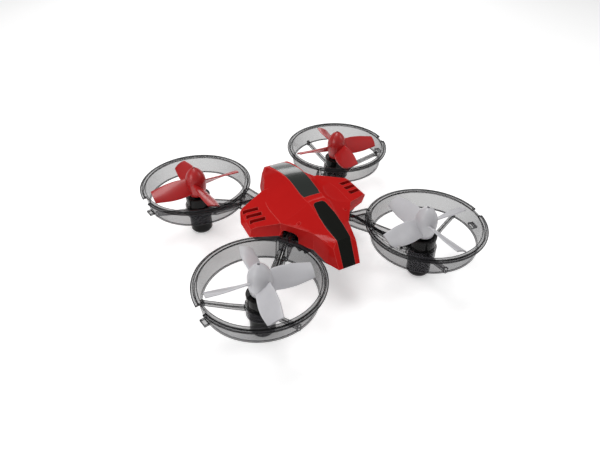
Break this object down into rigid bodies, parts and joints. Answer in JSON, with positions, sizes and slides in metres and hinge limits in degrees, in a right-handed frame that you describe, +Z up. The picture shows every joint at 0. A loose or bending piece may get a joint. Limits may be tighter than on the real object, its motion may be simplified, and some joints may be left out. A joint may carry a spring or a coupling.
{
  "type": "palm drone",
  "caption": "Palm-sized quadcopter with ducted propellers, hanging motor pods, glossy canopy, slide-off battery door and power button.",
  "frame": {"origin": "on the ground under the middle of the four rotors", "axes": "+Z up, -Y towards the nose, +X to the right when looking along +Y"},
  "size_m": [0.1122, 0.1106, 0.0318],
  "materials": {
    "red_gloss": "gloss",
    "black_gloss": "gloss",
    "dark_panel": "gloss",
    "black_matte": "satin",
    "battery_wrap": "satin",
    "lead_red": "satin",
    "lead_black": "satin",
    "white_plastic": "satin",
    "board_green": "satin",
    "chip_black": "satin",
    "tin": "satin",
    "black_button": "satin",
    "led_lens": "gloss",
    "screw_steel": "satin",
    "smoke_clear": "gloss",
    "motor_black": "satin",
    "shaft_steel": "satin",
    "prop_grey": "satin",
    "prop_red": "satin"
  },
  "bodies": {
    "airframe": {"canopy_shell": "red_gloss", "windscreen_strip": "black_gloss", "spine_panel": "dark_panel", "chassis_tray": "black_matte", "battery_pack": "battery_wrap", "battery_leads": "lead_red", "battery_plug": "white_plastic", "battery_socket": "white_plastic", "circuit_board": "board_green", "board_chips": "chip_black", "radio_shield": "tin", "receiver_antenna": "lead_black", "switch_board": "board_green", "power_switch": "chip_black", "status_leds": "led_lens", "board_screws": "screw_steel", "duct_screws": "screw_steel", "duct_front_left": "smoke_clear", "motor_pod_front_left": "smoke_clear", "motor_front_left": "motor_black", "end_bell_front_left": "chip_black", "motor_leads_front_left": "lead_black", "motor_plug_front_left": "white_plastic", "duct_front_right": "smoke_clear", "motor_pod_front_right": "smoke_clear", "motor_front_right": "motor_black", "end_bell_front_right": "chip_black", "motor_leads_front_right": "lead_black", "motor_plug_front_right": "white_plastic", "duct_rear_left": "smoke_clear", "motor_pod_rear_left": "smoke_clear", "motor_rear_left": "motor_black", "end_bell_rear_left": "chip_black", "motor_leads_rear_left": "lead_black", "motor_plug_rear_left": "white_plastic", "duct_rear_right": "smoke_clear", "motor_pod_rear_right": "smoke_clear", "motor_rear_right": "motor_black", "end_bell_rear_right": "chip_black", "motor_leads_rear_right": "lead_black", "motor_plug_rear_right": "white_plastic"},
    "rotor_front_left": {"shaft_front_left": "shaft_steel", "propeller_front_left": "prop_grey"},
    "rotor_front_right": {"shaft_front_right": "shaft_steel", "propeller_front_right": "prop_grey"},
    "rotor_rear_left": {"shaft_rear_left": "shaft_steel", "propeller_rear_left": "prop_red"},
    "rotor_rear_right": {"shaft_rear_right": "shaft_steel", "propeller_rear_right": "prop_red"},
    "battery_cover": {"battery_door": "black_matte"},
    "power_key": {"power_button": "black_button"}
  },
  "joints": [
    {"name": "rotor_front_left_spin", "type": "hinge", "parent": "airframe", "child": "rotor_front_left", "pos_m": [-0.0336, -0.0328, 0.02], "axis": [0, 0, 1], "continuous": true},
    {"name": "rotor_front_right_spin", "type": "hinge", "parent": "airframe", "child": "rotor_front_right", "pos_m": [0.0336, -0.0328, 0.02], "axis": [0, 0, 1], "continuous": true},
    {"name": "rotor_rear_left_spin", "type": "hinge", "parent": "airframe", "child": "rotor_rear_left", "pos_m": [-0.0336, 0.0328, 0.02], "axis": [0, 0, 1], "continuous": true},
    {"name": "rotor_rear_right_spin", "type": "hinge", "parent": "airframe", "child": "rotor_rear_right", "pos_m": [0.0336, 0.0328, 0.02], "axis": [0, 0, 1], "continuous": true},
    {"name": "battery_door_slide", "type": "slide", "parent": "airframe", "child": "battery_cover", "axis": [0, 1, 0], "range_m": [0, 0.032]},
    {"name": "power_button_press", "type": "slide", "parent": "airframe", "child": "power_key", "axis": [0, 0, 1], "range_m": [0, 0.0006], "stiffness_N_per_m": 400}
  ]
}
